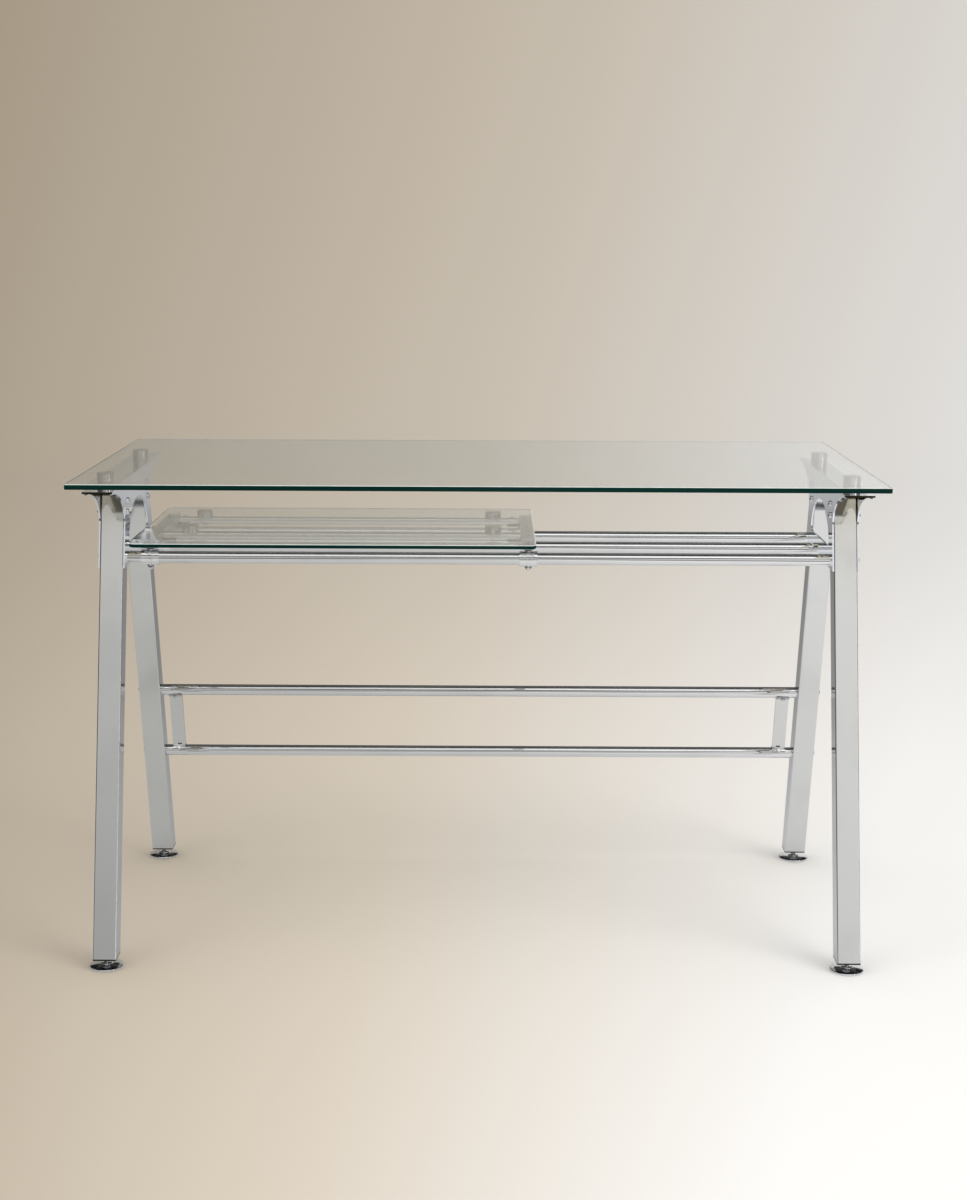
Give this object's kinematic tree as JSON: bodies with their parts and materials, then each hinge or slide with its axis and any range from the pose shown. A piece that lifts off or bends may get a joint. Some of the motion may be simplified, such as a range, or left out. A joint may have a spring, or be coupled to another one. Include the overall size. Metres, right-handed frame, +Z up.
{
  "type": "computer desk with keyboard tray",
  "caption": "Rectangular clear glass desk on chromed leaning square legs joined by round rails, with a sliding glass keyboard tray clamped under the left half.",
  "frame": {"origin": "on the floor under the middle of the desk top", "axes": "+X to the user's right along the desk's length, -Y towards the user, +Z up"},
  "size_m": [1.2, 0.6, 0.75],
  "materials": {
    "clear_glass": "polished",
    "black_plastic": "moulded",
    "zinc_steel": "zinc plated",
    "slide_steel": "zinc plated",
    "satin_aluminium": "satin",
    "bearing_steel": "polished",
    "satin_disc_steel": "turned",
    "leg_chrome": "polished",
    "plate_chrome": "polished",
    "fastener_chrome": "polished",
    "tube_chrome": "polished"
  },
  "bodies": {
    "frame": {"brace_screws": "fastener_chrome", "clamp_bolts": "fastener_chrome", "clamp_lower_halves": "tube_chrome", "clamp_nuts": "fastener_chrome", "clamp_spacers": "black_plastic", "clamp_upper_halves": "tube_chrome", "end_cap_inserts": "zinc_steel", "front_left_end_cap": "black_plastic", "front_left_leg": "leg_chrome", "front_rail": "tube_chrome", "front_right_end_cap": "black_plastic", "front_right_leg": "leg_chrome", "head_bolts": "fastener_chrome", "head_cap_nuts": "fastener_chrome", "left_brace": "tube_chrome", "left_head_flange": "plate_chrome", "left_inner_head_plate": "plate_chrome", "left_outer_head_plate": "plate_chrome", "left_slide_outer": "slide_steel", "lower_stretcher": "tube_chrome", "middle_rail": "tube_chrome", "rail_bolts": "fastener_chrome", "rail_spacers": "zinc_steel", "rear_left_end_cap": "black_plastic", "rear_left_leg": "leg_chrome", "rear_rail": "tube_chrome", "rear_right_end_cap": "black_plastic", "rear_right_leg": "leg_chrome", "right_brace": "tube_chrome", "right_head_flange": "plate_chrome", "right_inner_head_plate": "plate_chrome", "right_outer_head_plate": "plate_chrome", "right_slide_outer": "slide_steel", "stretcher_bolts": "fastener_chrome", "top_disc_screws": "fastener_chrome", "top_discs": "satin_disc_steel", "top_glass": "clear_glass", "tube_end_plugs": "zinc_steel", "upper_stretcher": "tube_chrome"},
    "tray": {"tray_glass": "clear_glass", "tray_discs": "satin_disc_steel", "tray_disc_screws": "fastener_chrome", "front_cross_tube": "tube_chrome", "rear_cross_tube": "tube_chrome", "cross_tube_screws": "fastener_chrome", "left_tray_carrier": "satin_aluminium", "right_tray_carrier": "satin_aluminium", "carrier_screws": "fastener_chrome", "left_slide_inner": "slide_steel", "right_slide_inner": "slide_steel"},
    "left_ball_cage": {"left_ball_retainer": "slide_steel", "left_slide_balls": "bearing_steel"},
    "right_ball_cage": {"right_ball_retainer": "slide_steel", "right_slide_balls": "bearing_steel"},
    "front_left_foot": {"front_left_leveller": "tube_chrome"},
    "front_right_foot": {"front_right_leveller": "tube_chrome"},
    "rear_left_foot": {"rear_left_leveller": "tube_chrome"},
    "rear_right_foot": {"rear_right_leveller": "tube_chrome"}
  },
  "joints": [
    {"name": "tray_slide", "type": "slide", "parent": "frame", "child": "tray", "axis": [0, -1, 0], "range_m": [0, 0.18]},
    {"name": "left_cage_slide", "type": "slide", "parent": "frame", "child": "left_ball_cage", "axis": [0, -1, 0], "range_m": [0, 0.09]},
    {"name": "right_cage_slide", "type": "slide", "parent": "frame", "child": "right_ball_cage", "axis": [0, -1, 0], "range_m": [0, 0.09]},
    {"name": "front_left_foot_turn", "type": "hinge", "parent": "frame", "child": "front_left_foot", "pos_m": [-0.568, -0.26766, 0], "axis": [0, 0, 1], "continuous": true},
    {"name": "front_right_foot_turn", "type": "hinge", "parent": "frame", "child": "front_right_foot", "pos_m": [0.568, -0.26766, 0], "axis": [0, 0, 1], "continuous": true},
    {"name": "rear_left_foot_turn", "type": "hinge", "parent": "frame", "child": "rear_left_foot", "pos_m": [-0.568, 0.26766, 0], "axis": [0, 0, 1], "continuous": true},
    {"name": "rear_right_foot_turn", "type": "hinge", "parent": "frame", "child": "rear_right_foot", "pos_m": [0.568, 0.26766, 0], "axis": [0, 0, 1], "continuous": true}
  ],
  "couplings": [
    {"joint": "left_cage_slide", "follows": "tray_slide", "ratio": 0.5},
    {"joint": "right_cage_slide", "follows": "tray_slide", "ratio": 0.5}
  ]
}
